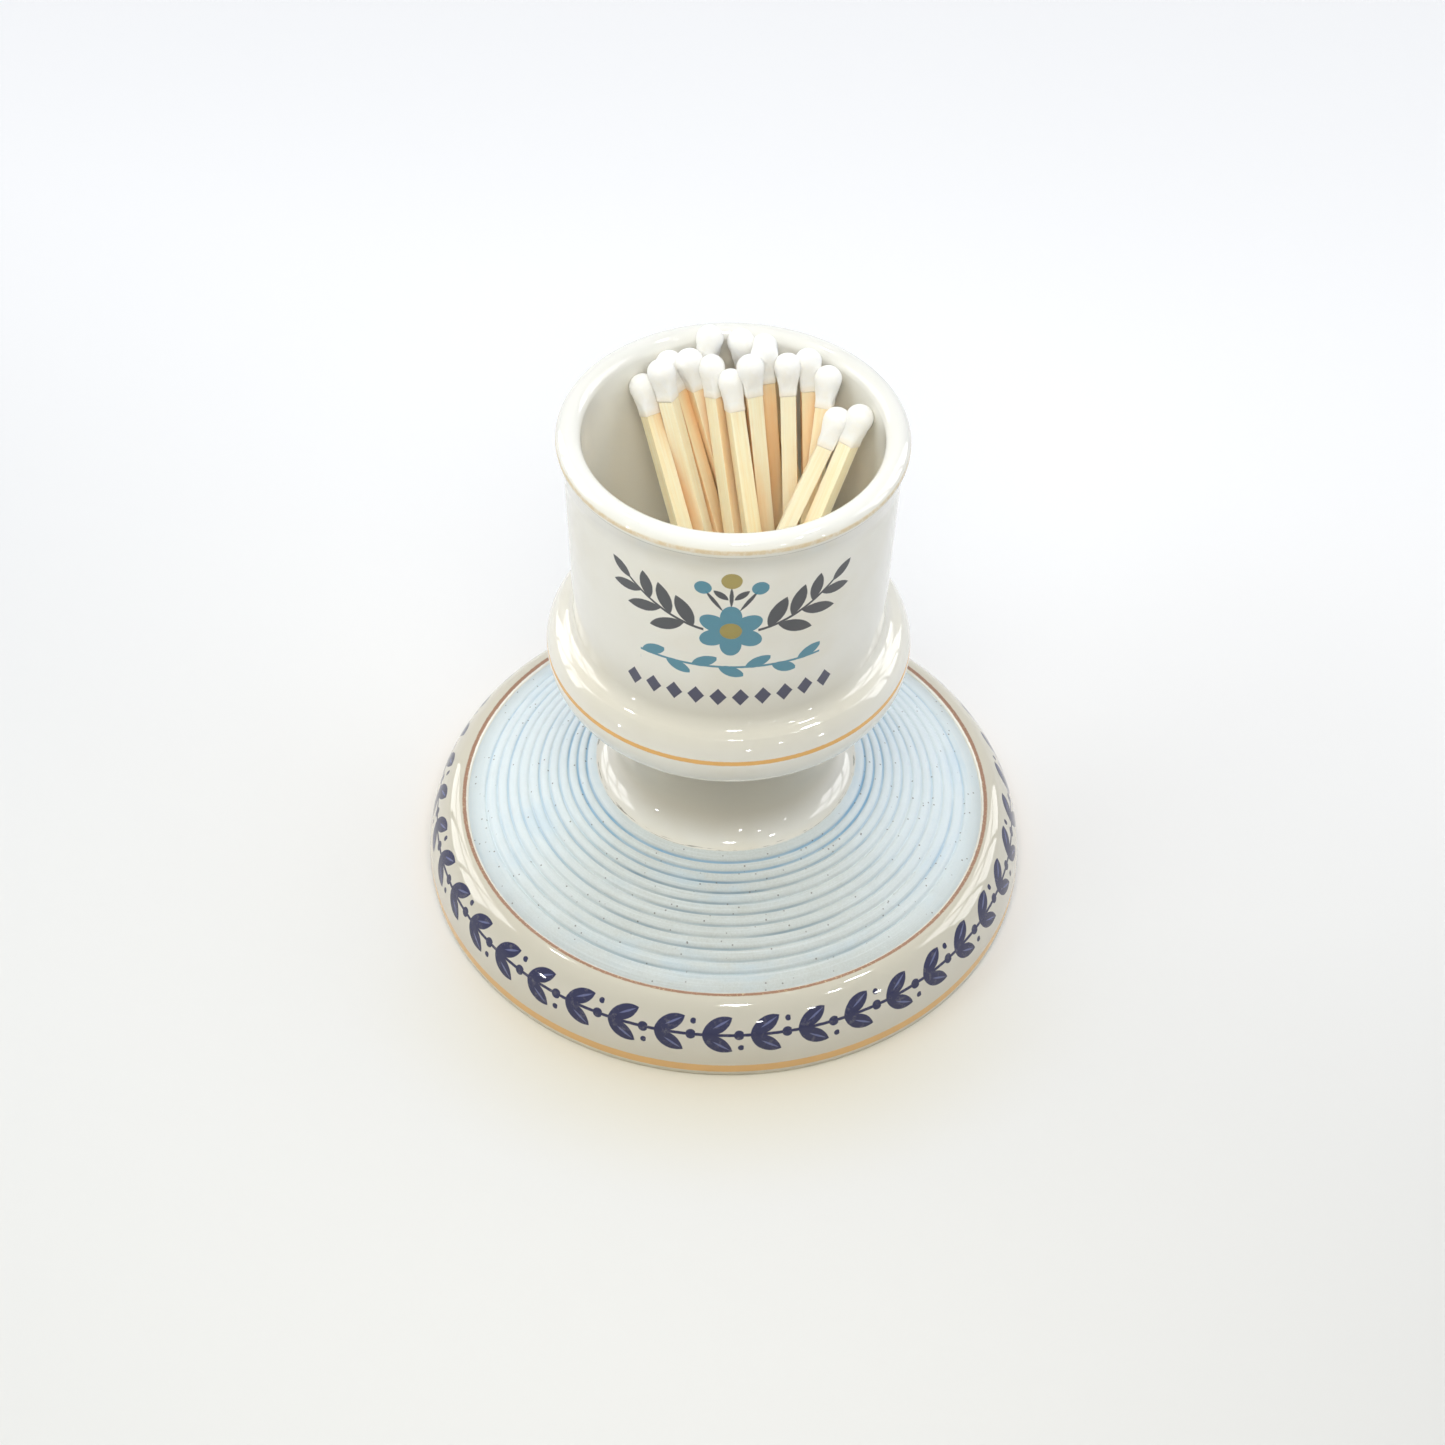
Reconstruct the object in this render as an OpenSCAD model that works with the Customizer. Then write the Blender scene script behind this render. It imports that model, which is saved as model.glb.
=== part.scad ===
// Porcelain table match striker with a cup of wooden matches.
// The z axis is the axis of the cup, z = 0 is the table, and y points away from the viewer.

/* [Foot] */
// Diameter of the foot at its widest
foot_d = 102.4; // [94:0.2:120]
// Height at which the foot is widest
foot_belly_h = 1.2; // [0.8:0.1:4]
// Height of the rounded crest of the foot
crest_h = 12.9; // [11.5:0.1:16]
// Diameter of the crest's top line
crest_d = 89.8; // [86:0.2:92]
// Fullness of the curve from the belly to the crest: 1 is an ellipse, more is flatter
crest_fullness = 1.08; // [1:0.02:1.4]
// Width of the ring that the foot stands on
foot_ring_w = 3.4; // [2:0.1:5]
// Radius of the edge under the belly
foot_edge_r = 0.4; // [0.2:0.1:2]
// Thickness of the shell over the hollow underside
shell_t = 4.8; // [3:0.1:6]

/* [Striking surface] */
// Diameter of the striking surface at its outer edge
striker_d = 88; // [84:0.2:89]
// Depth of its outer edge below the crest
striker_drop = 0.6; // [0.2:0.1:1.5]
// Diameter where it meets the glazed stem
striker_inner_d = 44; // [40:0.2:46]
// Height of that inner edge above the table
striker_inner_h = 21.6; // [18:0.1:25]
// Number of concentric grooves
groove_count = 11; // [1:1:11]
// Distance from the inner edge to the first groove
groove_start = 1.6; // [1:0.1:2.4]
// Distance from the first groove to the second
groove_pitch = 1.55; // [1.2:0.05:1.7]
// How much wider each ridge is than the one inside it
groove_growth = 0.04; // [0:0.01:0.05]
// Depth of a groove
groove_depth = 0.32; // [0.1:0.02:0.5]
// Width of a groove
groove_w = 0.7; // [0.4:0.05:0.9]

/* [Stem] */
// Diameter of the waist
waist_d = 35.6; // [32:0.2:40]
// Height of the bottom of the waist
waist_h = 28.4; // [26:0.1:30]
// Height at which the waist opens to the shoulder
waist_top_h = 32; // [31:0.1:34]
// Thickness of the wall round the hollow stem
stem_t = 4.6; // [3.5:0.1:6]
// Fillet between the hollow stem and the hollow foot
hollow_fillet = 4; // [2:0.1:5]
// Radius of the dome that closes the hollow stem
hollow_dome_r = 5; // [3:0.1:7]

/* [Cup] */
// Diameter of the shoulder at its widest
shoulder_d = 58.6; // [56:0.2:64]
// Height at which the shoulder is widest
shoulder_h = 49.6; // [48:0.1:52]
// Height of the round top of the shoulder above its widest line
shoulder_top = 5; // [3:0.1:6]
// Depth of the round underside of the shoulder below its widest line
shoulder_under = 7.6; // [5:0.1:9]
// How far the round underside of the shoulder reaches in
shoulder_roll = 6.4; // [5:0.1:7]
// Fillet where the straight wall stands on the shoulder
neck_fillet = 1.2; // [0.5:0.1:2]
// Outside diameter of the straight wall
cup_d = 49.6; // [47:0.2:54]
// Thickness of the straight wall
cup_t = 2; // [1.5:0.1:3]
// Depth of the cup's floor below the shoulder's widest line
floor_drop = 3.6; // [1:0.1:6]
// Thickness of the porcelain under the floor
floor_t = 4.4; // [3:0.1:6]
// Fillet round the floor inside
floor_fillet = 4; // [2:0.1:6]
// Height of the whole striker to the top of the lip
total_h = 92.6; // [80:0.2:110]
// How far the lip stands out from the wall
lip_out = 1.8; // [1:0.1:3]
// Height of the rolled lip
lip_roll_h = 3.6; // [2.4:0.1:5]

/* [Matches] */
// Length of a match
match_l = 50; // [42:0.5:56]
// Width of the square stick
stick_w = 2.2; // [1.6:0.1:2.6]
// Diameter of the head
head_d = 3.2; // [2.8:0.1:4]
// Length of the drop-shaped head, down to where it meets the dipped stick
drop_l = 3.8; // [3:0.1:6]
// Length of the white dip with its head
dip_l = 7; // [5:0.1:9]
// How far the dipped square stick shows up into the head
dip_lap = 1; // [0.4:0.1:1.6]
// Thickness of the dip on the stick
dip_t = 0.12; // [0.06:0.02:0.2]
// Depth of the stick inside the head, from the head's tip
stick_cover = 1.1; // [0.8:0.1:1.4]

/* [Fit] */
// Space between one match and the next where they lie side by side
match_gap = 0.1; // [0:0.05:0.5]
// Space between a match and the porcelain that it leans on
seat_gap = 0.05; // [0:0.05:0.2]

/* [Hidden] */
// How each match stands, in steps of one match's room: how far round the wall its head leans,
// counted from the back towards the left, then its foot's place on the floor to the right and
// to the back, how far its head lies in front of the wall, and last its turn in degrees
MATCHES = [
    [4.8, -0.3, -1.6, 0, 10],
    [4.2, 0.1, 0.5, 0.7, 40],
    [3.3, 0.9, 1, 0, 20],
    [2.5, 1.8, 1.9, 0.6, 0],
    [1.4, 1.1, -0.1, 1.2, 30],
    [0.3, 2.1, -1.4, 2, 15],
    [-1, 2.3, 1, 1.9, 0],
    [-1.6, 2.7, 2.5, 1, 0],
    [-3, 3.2, 0.5, 1, 0],
    [-3.7, 4.1, 0.9, 0.2, 5],
    [-5, 3.1, -0.9, 0.2, 10],
    [-6.8, -0.8, -2.7, 0.8, 45],
    [-7.5, 0.9, -2.6, 0, 20],
    [1.2, -2.4, 3.9, 0, 0],
    [-0.2, 3.2, 3.9, 0, 0],
    [-1.3, 4.4, 3, 0, 0]
];
match_count = len(MATCHES);

function two(n) = str(n < 10 ? "0" : "", n);

stick_names = [for (i = [1:match_count]) str("match_", two(i), "_stick")];
head_names = [for (i = [1:match_count]) str("match_", two(i), "_head")];

$fn = 96;

foot_r = foot_d / 2;
crest_r = crest_d / 2;
striker_r = striker_d / 2;
striker_inner_r = striker_inner_d / 2;
striker_edge_h = crest_h - striker_drop;
striker_slope = (striker_inner_h - striker_edge_h) / (striker_r - striker_inner_r);
waist_r = waist_d / 2;
shoulder_r = shoulder_d / 2;
floor_h = shoulder_h - floor_drop;
cup_r = cup_d / 2;
cup_inner_r = cup_r - cup_t;
lip_mid_r = (cup_r + lip_out + cup_inner_r) / 2;
lip_mid_h = total_h - lip_roll_h / 2;

// Points on a quarter or more of an ellipse, from angle a to angle b
function arc(cx, cy, rx, ry, a, b, n, e = 1) = [
    for (i = [0:n])
        let (t = a + (b - a) * i / n)
        [cx + rx * sign(cos(t)) * pow(abs(cos(t)), e), cy + ry * sign(sin(t)) * pow(abs(sin(t)), e)]
];

// Height of the striking surface at radius r, without its grooves
function striker_z(r) = striker_edge_h + (striker_r - r) * striker_slope;

// Radius of groove i, counted from the stem
function groove_r(i) = striker_inner_r + groove_start + i * (groove_pitch + groove_growth * (i - 1) / 2);

// A rounded valley across groove i, from its outer side to its inner side
function groove(i) = [
    for (k = [0:6])
        let (s = k / 3 - 1)
        let (r = groove_r(i) - s * groove_w / 2)
        [r, striker_z(r) - groove_depth * (1 + cos(180 * s)) / 2]
];

// From the ring on the table, over the belly and the crest, to the striking surface
foot_outline = concat(
    arc(foot_r - foot_edge_r, foot_belly_h, foot_edge_r, foot_belly_h, -90, 0, 6),
    arc(crest_r, foot_belly_h, foot_r - crest_r, crest_h - foot_belly_h, 6, 90, 14, crest_fullness),
    arc(crest_r, striker_edge_h, crest_r - striker_r, striker_drop, 112, 180, 3)
);

// Up the ridged striking surface, groove by groove
striker_outline = [
    for (i = [groove_count - 1:-1:0]) each groove(i)
];

// The glazed flare from the striking surface up to the waist
flare_outline = arc(striker_inner_r, waist_h, striker_inner_r - waist_r, waist_h - striker_inner_h,
    270, 180, 10);

// From the waist, out under the shoulder and over it to the straight wall
shoulder_turn_r = shoulder_r - shoulder_roll;
neck_angle = acos(neck_fillet / (shoulder_r - cup_r));
neck_h = shoulder_h + shoulder_top * sin(neck_angle);
shoulder_outline = concat(
    arc(shoulder_turn_r, waist_top_h, shoulder_turn_r - waist_r,
        shoulder_h - shoulder_under - waist_top_h, 180, 90, 10),
    arc(shoulder_turn_r, shoulder_h, shoulder_roll, shoulder_under, -80, 0, 9),
    arc(cup_r, shoulder_h, shoulder_r - cup_r, shoulder_top, 8, neck_angle, 8),
    arc(cup_r + neck_fillet, neck_h + neck_fillet, neck_fillet, neck_fillet, 255, 180, 5)
);

// The rolled lip, from the straight wall over the top and down inside the cup
lip_outline = arc(lip_mid_r, lip_mid_h, cup_r + lip_out - lip_mid_r, lip_roll_h / 2, -60, 180, 18);

// The floor of the cup, from the wall to the axis
floor_outline = concat(
    arc(cup_inner_r - floor_fillet, floor_h + floor_fillet, floor_fillet, floor_fillet, 0, -90, 8),
    [[0, floor_h]]
);

// The hollow underside, from the axis down the stem and out to the ring
hollow_r = waist_r - stem_t;
hollow_top = floor_h - floor_t;
hollow_rim_r = foot_r - foot_edge_r - foot_ring_w;
hollow_outline = concat(
    [[0, hollow_top]],
    arc(hollow_r - hollow_dome_r, hollow_top - hollow_dome_r, hollow_dome_r, hollow_dome_r, 90, 0, 8),
    arc(hollow_r + hollow_fillet, striker_z(hollow_r + hollow_fillet) - shell_t + hollow_fillet,
        hollow_fillet, hollow_fillet, 180, 270 - atan(striker_slope), 6),
    arc(striker_r - shell_t, foot_belly_h, hollow_rim_r - (striker_r - shell_t),
        striker_z(striker_r - shell_t) - shell_t - foot_belly_h, 90, 0, 8),
    [[hollow_rim_r, 0]]
);

module striker_body() {
    color("ivory")
        rotate_extrude()
            polygon(concat(foot_outline, striker_outline, flare_outline, shoulder_outline,
                lip_outline, floor_outline, hollow_outline));
}

// Room that one match takes up across the fan
match_room = max(head_d, stick_w * sqrt(2)) + match_gap;
head_r = head_d / 2;
head_centre = match_l - head_r;
wall_reach = cup_inner_r - head_r - seat_gap;

// Puts its children, a match upright on the origin, where match i leans in the cup
module lean(i) {
    m = MATCHES[i];
    around = 90 + m[0] * match_room / wall_reach * 180 / PI;
    reach = wall_reach - m[3] * match_room;
    foot = [m[1], m[2]] * match_room;
    run = [cos(around), sin(around)] * reach - foot;
    tilt = asin(norm(run) / head_centre);
    corner_drop = stick_w / 2 * (abs(cos(m[4])) + abs(sin(m[4]))) * sin(tilt);
    translate([foot[0], foot[1], floor_h + seat_gap + corner_drop])
        rotate([0, tilt, atan2(run[1], run[0])])
            rotate(m[4])
                children();
}

// A square stick, from the floor to inside its head
module stick() {
    translate([-stick_w / 2, -stick_w / 2, 0])
        cube([stick_w, stick_w, match_l - stick_cover]);
}

// Half outline of the head: a ball that draws in to the stick below
sleeve_w = stick_w + 2 * dip_t;
head_outline = concat(
    [[0, match_l - drop_l]],
    [for (k = [0:6])
        let (t = k / 6)
        [stick_w / 2 + (head_r - stick_w / 2) * (1 - cos(180 * t)) / 2,
            match_l - drop_l + (drop_l - head_r) * t]],
    arc(0, head_centre, head_r, head_r, 12, 90, 7)
);

// The white dip: the drop-shaped head, and a thin coat on the stick below it
module head() {
    difference() {
        union() {
            rotate_extrude($fn = 48)
                polygon(head_outline);
            translate([-sleeve_w / 2, -sleeve_w / 2, match_l - dip_l])
                cube([sleeve_w, sleeve_w, dip_l - drop_l + dip_lap]);
        }
        stick();
    }
}

module match_stick(i) {
    color("wheat")
        lean(i)
            stick();
}

module match_head(i) {
    color("whitesmoke")
        lean(i)
            head();
}

striker_body();
for (i = [0:match_count - 1]) {
    match_stick(i);
    match_head(i);
}
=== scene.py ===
import math
import bpy
from mathutils import Matrix, Vector


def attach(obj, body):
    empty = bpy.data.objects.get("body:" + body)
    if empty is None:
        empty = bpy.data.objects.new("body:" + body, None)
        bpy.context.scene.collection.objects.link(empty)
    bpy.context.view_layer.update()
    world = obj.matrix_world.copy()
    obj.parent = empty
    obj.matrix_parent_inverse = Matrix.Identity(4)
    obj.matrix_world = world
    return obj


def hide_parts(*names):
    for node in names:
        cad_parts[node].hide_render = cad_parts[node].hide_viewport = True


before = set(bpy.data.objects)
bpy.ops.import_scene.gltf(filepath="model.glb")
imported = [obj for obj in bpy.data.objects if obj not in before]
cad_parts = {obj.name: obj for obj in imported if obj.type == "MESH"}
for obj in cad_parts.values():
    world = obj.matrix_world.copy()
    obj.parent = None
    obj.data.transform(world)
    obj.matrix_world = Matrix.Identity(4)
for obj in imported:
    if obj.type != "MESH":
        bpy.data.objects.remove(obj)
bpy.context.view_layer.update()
print("stage 1: frame loaded,", len(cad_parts), "nodes")

mm = 0.001
matchCount = 16


# A colour as it is read off a screen, 0 to 255, turned into light values
def tone(red, green, blue):
    def light(part):
        part = part / 255
        return part / 12.92 if part <= 0.04045 else ((part + 0.055) / 1.055) ** 2.4
    return (light(red), light(green), light(blue), 1.0)


def feed(tree, socket, item):
    if isinstance(item, wire):
        tree.links.new(item.socket, socket)
    else:
        socket.default_value = item


# A node's output that can be added, scaled and compared like a number
class wire:
    def __init__(self, tree, socket):
        self.tree = tree
        self.socket = socket

    def out(self, key):
        return wire(self.tree, self.socket.node.outputs[key])

    def step(self, operation, *items):
        node = self.tree.nodes.new("ShaderNodeMath")
        node.operation = operation
        for place, item in enumerate(items):
            feed(self.tree, node.inputs[place], item)
        return wire(self.tree, node.outputs[0])

    def __add__(self, other):
        return self.step("ADD", self, other)

    def __radd__(self, other):
        return self.step("ADD", other, self)

    def __sub__(self, other):
        return self.step("SUBTRACT", self, other)

    def __rsub__(self, other):
        return self.step("SUBTRACT", other, self)

    def __mul__(self, other):
        return self.step("MULTIPLY", self, other)

    def __truediv__(self, other):
        return self.step("DIVIDE", self, other)

    def __neg__(self):
        return self.step("MULTIPLY", self, -1.0)

    def __abs__(self):
        return self.step("ABSOLUTE", self)

    def lower(self, other):
        return self.step("MINIMUM", self, other)

    def higher(self, other):
        return self.step("MAXIMUM", self, other)

    def root(self):
        return self.step("SQRT", self)

    def sine(self):
        return self.step("SINE", self)

    def cosine(self):
        return self.step("COSINE", self)

    def fraction(self):
        return self.step("FRACT", self)

    def whole(self):
        return self.step("FLOOR", self)

    # 0 below start, 1 above end, and a smooth rise between them
    def rise(self, start, end):
        node = self.tree.nodes.new("ShaderNodeMapRange")
        node.interpolation_type = "SMOOTHSTEP"
        for place, item in enumerate((self, start, end, 0.0, 1.0)):
            feed(self.tree, node.inputs[place], item)
        return wire(self.tree, node.outputs[0])

    # 1 where this lies within half of middle, and 0 outside, with a soft edge
    def band(self, middle, half, soft):
        return 1.0 - abs(self - middle).rise(half - soft, half + soft)


# Makes every other node: its kind, its settings, then its inputs by name or number
class maker:
    def __init__(self, tree):
        self.tree = tree
        tree.nodes.clear()

    def add(self, kind, settings=None, inputs=None, output=0):
        node = self.tree.nodes.new(kind)
        for name, value in (settings or {}).items():
            setattr(node, name, value)
        for key, value in (inputs or {}).items():
            feed(self.tree, node.inputs[key], value)
        return wire(self.tree, node.outputs[output]) if len(node.outputs) else None

    def noise(self, place, scale, detail=2.0, roughness=0.5):
        return self.add("ShaderNodeTexNoise", None,
                        {"Vector": place, "Scale": scale, "Detail": detail, "Roughness": roughness})

    def blend(self, factor, first, second):
        return self.add("ShaderNodeMix", {"data_type": "RGBA"}, {0: factor, 6: first, 7: second}, 2)

    def stretch(self, place, factors):
        return self.add("ShaderNodeVectorMath", {"operation": "MULTIPLY"}, {0: place, 1: factors})

    def join(self, x, y, z):
        return self.add("ShaderNodeCombineXYZ", None, {0: x, 1: y, 2: z})

    def atan(self, across, ahead):
        return self.add("ShaderNodeMath", {"operation": "ARCTAN2"}, {0: across, 1: ahead})

    # 1 for what the camera sees, straight, mirrored or through glass
    def inSight(self):
        seen = self.add("ShaderNodeLightPath")
        return seen.higher(seen.out("Is Glossy Ray")).higher(seen.out("Is Transmission Ray"))

    # Tones round a full turn, each easing into the next
    def ring(self, turn, tones):
        node = self.tree.nodes.new("ShaderNodeValToRGB")
        feed(self.tree, node.inputs[0], turn.fraction())
        node.color_ramp.interpolation = "EASE"
        stops = node.color_ramp.elements
        for number in range(1, len(tones)):
            stops.new(number / len(tones))
        for stop, tint in zip(stops, (*tones, tones[0])):
            stop.color = (*tint, 1.0)
        return wire(self.tree, node.outputs[0])

    def bump(self, height):
        return self.add("ShaderNodeBump", None, {"Strength": 1.0, "Distance": mm, "Height": height})


# A material whose surface node takes constants here and links later
def startMaterial(name, constants):
    material = bpy.data.materials.new(name)
    material.use_nodes = True
    nodes = maker(material.node_tree)
    surface = nodes.add("ShaderNodeBsdfPrincipled", None, constants)
    nodes.add("ShaderNodeOutputMaterial", None, {"Surface": surface})
    return material, nodes, surface.socket.node


# An empty tree with named inputs, and where each one is set on a modifier
def startTree(name, sockets):
    tree = bpy.data.node_groups.new(name, "GeometryNodeTree")
    tree.interface.new_socket(name="Mesh", in_out="OUTPUT", socket_type="NodeSocketGeometry")
    places = {}
    for label, kind in sockets:
        socket = tree.interface.new_socket(name=label, in_out="INPUT", socket_type=kind)
        places[label] = socket.identifier
    nodes = maker(tree)
    given = nodes.add("NodeGroupInput")
    return tree, nodes, given, places


# Runs a tree on an empty object and keeps the result as one plain mesh
def grow(name, tree, places, values):
    carrier = bpy.data.objects.new(name + "Carrier", bpy.data.meshes.new(name + "Carrier"))
    bpy.context.scene.collection.objects.link(carrier)
    modifier = carrier.modifiers.new("grow", "NODES")
    modifier.node_group = tree
    for label, value in values.items():
        modifier[places[label]] = value
    depsgraph = bpy.context.evaluated_depsgraph_get()
    mesh = bpy.data.meshes.new_from_object(carrier.evaluated_get(depsgraph))
    mesh.name = name
    carrier.modifiers.remove(modifier)
    bpy.data.objects.remove(carrier)
    piece = bpy.data.objects.new(name, mesh)
    bpy.context.scene.collection.objects.link(piece)
    return piece


def meshObject(name, points, edges, faces):
    mesh = bpy.data.meshes.new(name)
    mesh.from_pydata(points, edges, faces)
    item = bpy.data.objects.new(name, mesh)
    bpy.context.scene.collection.objects.link(item)
    return item


def putFloats(mesh, name, values):
    mesh.attributes.new(name, "FLOAT", "POINT").data.foreach_set("value", values)


# The striker's outline, in millimetres
strikerValues = dict(
    turns=200,
    footR=51.2, bellyH=1.2, crestH=12.9, crestR=44.9, crestFullness=1.08, ringWide=3.4, edgeR=0.4,
    shell=4.8, discR=44.0, discDrop=0.6, discInnerR=22.0, discInnerH=21.6, grooves=11,
    grooveStart=1.6, groovePitch=1.55, grooveGrowth=0.04, grooveDeep=0.42, grooveWide=0.86,
    ribCrown=0.07, waistR=17.8, waistH=28.4, waistTopH=32.0, stemWall=4.6, hollowFillet=4.0,
    domeR=5.0, shoulderR=29.3, shoulderH=49.6, shoulderTop=5.0, shoulderUnder=7.6,
    shoulderRoll=6.4, neckFillet=2.6, cupR=24.8, cupInnerR=22.8, floorH=46.0, floorWall=4.4,
    floorFillet=4.0, topH=92.6, lipOut=1.8, lipRoll=3.6, wobble=0.05)


def arc(centre, reach, start, end, steps, fullness=1.0):
    points = []
    for step in range(steps + 1):
        turn = math.radians(start + (end - start) * step / steps)
        across, up = math.cos(turn), math.sin(turn)
        points.append((centre[0] + reach[0] * math.copysign(abs(across) ** fullness, across),
                       centre[1] + reach[1] * math.copysign(abs(up) ** fullness, up)))
    return points


def straight(first, last, steps):
    return [(first[0] + (last[0] - first[0]) * step / steps,
             first[1] + (last[1] - first[1]) * step / steps) for step in range(steps + 1)]


# The whole section from the pole inside the stem to the pole on the cup's floor,
# as named stretches, with how deep in a groove each point lies
def strikerOutline(v):
    discEdgeH = v["crestH"] - v["discDrop"]
    slope = (v["discInnerH"] - discEdgeH) / (v["discR"] - v["discInnerR"])

    def discH(radius):
        return discEdgeH + (v["discR"] - radius) * slope

    hollowR = v["waistR"] - v["stemWall"]
    hollowTop = v["floorH"] - v["floorWall"]
    rimR = v["footR"] - v["edgeR"] - v["ringWide"]
    filletR = hollowR + v["hollowFillet"]
    innerDiscR = v["discR"] - v["shell"]
    fillet = arc((filletR, discH(filletR) - v["shell"] + v["hollowFillet"]),
                 (v["hollowFillet"],) * 2, 270 - math.degrees(math.atan(slope)), 180, 8)
    rimArc = arc((innerDiscR, v["bellyH"]),
                 (rimR - innerDiscR, discH(innerDiscR) - v["shell"] - v["bellyH"]), 90, 0, 12)
    dome = arc((hollowR - v["domeR"], hollowTop - v["domeR"]), (v["domeR"],) * 2, 90, 0, 10)
    hollow = (straight((0, hollowTop), dome[0], 3)[:-1] + dome
              + straight(dome[-1], fillet[-1], 5)[1:-1] + fillet[::-1]
              + straight(fillet[0], rimArc[0], 6)[1:-1] + rimArc + [(rimR, 0)])
    ring = straight((rimR, 0), (v["footR"] - v["edgeR"], 0), 3)[1:-1]
    edge = arc((v["footR"] - v["edgeR"], v["bellyH"]), (v["edgeR"], v["bellyH"]), -90, 0, 12)
    crest = arc((v["crestR"], v["bellyH"]), (v["footR"] - v["crestR"], v["crestH"] - v["bellyH"]),
                4, 90, 44, v["crestFullness"])
    drop = arc((v["crestR"], discEdgeH), (v["crestR"] - v["discR"], v["discDrop"]), 100, 180, 7)

    disc, valley = [], []
    radii = [v["discInnerR"] + v["grooveStart"]
             + i * (v["groovePitch"] + v["grooveGrowth"] * (i - 1) / 2) for i in range(v["grooves"])]
    for i in reversed(range(v["grooves"])):
        for k in range(-4, 5):
            deep = (1 + math.cos(math.pi * k / 4)) / 2
            radius = radii[i] - k / 4 * v["grooveWide"] / 2
            disc.append((radius, discH(radius) - v["grooveDeep"] * deep - v["ribCrown"]
                         * (1 if 0 < i < v["grooves"] - 1 or (k > 0) == (i > 0) else 0) * (1 - deep)))
            valley.append(deep)
        if i > 0:
            radius = (radii[i] + radii[i - 1]) / 2
            disc.append((radius, discH(radius)))
            valley.append(0)
    flare = arc((v["discInnerR"], v["waistH"]),
                (v["discInnerR"] - v["waistR"], v["waistH"] - v["discInnerH"]), 270, 180, 22)

    turnR = v["shoulderR"] - v["shoulderRoll"]
    neckAngle = math.degrees(math.acos(v["neckFillet"] / (v["shoulderR"] - v["cupR"])))
    neckH = v["shoulderH"] + v["shoulderTop"] * math.sin(math.radians(neckAngle))
    under = arc((turnR, v["waistTopH"]),
                (turnR - v["waistR"], v["shoulderH"] - v["shoulderUnder"] - v["waistTopH"]), 180, 94, 20)
    roll = arc((turnR, v["shoulderH"]), (v["shoulderRoll"], v["shoulderUnder"]), -84, 0, 22)
    top = arc((v["cupR"], v["shoulderH"]), (v["shoulderR"] - v["cupR"], v["shoulderTop"]),
              5, neckAngle, 16)
    neck = arc((v["cupR"] + v["neckFillet"], neckH + v["neckFillet"]), (v["neckFillet"],) * 2,
               250, 180, 6)

    lipR = (v["cupR"] + v["lipOut"] + v["cupInnerR"]) / 2
    lipH = v["topH"] - v["lipRoll"] / 2
    lip = arc((lipR, lipH), (v["cupR"] + v["lipOut"] - lipR, v["lipRoll"] / 2), -60, 180, 40)
    wall = straight(neck[-1], lip[0], 8)[1:-1]
    corner = arc((v["cupInnerR"] - v["floorFillet"], v["floorH"] + v["floorFillet"]),
                 (v["floorFillet"],) * 2, 0, -90, 12)
    inside = straight(lip[-1], corner[0], 8)[1:-1] + corner + straight(corner[-1], (0, v["floorH"]), 5)[1:]

    points, depths, marks, along = [], [], {}, []
    total = 0.0
    for name, stretch in (("hollow", hollow), ("ring", ring), ("edge", edge), ("crest", crest),
                          ("drop", drop), ("disc", disc), ("flare", flare), ("under", under),
                          ("roll", roll), ("top", top), ("neck", neck), ("wall", wall), ("lip", lip),
                          ("inside", inside)):
        for place, point in enumerate(stretch):
            if points:
                total += math.dist(points[-1], point)
            if place == 0:
                marks[name] = total
                marks["before " + name] = along[-1] if along else 0.0
            points.append(point)
            depths.append(valley[place] if name == "disc" else 0.0)
            along.append(total)
    marks["end"] = total
    return points, depths, along, marks


outlinePoints, outlineDepths, outlineAlong, marks = strikerOutline(strikerValues)


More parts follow.
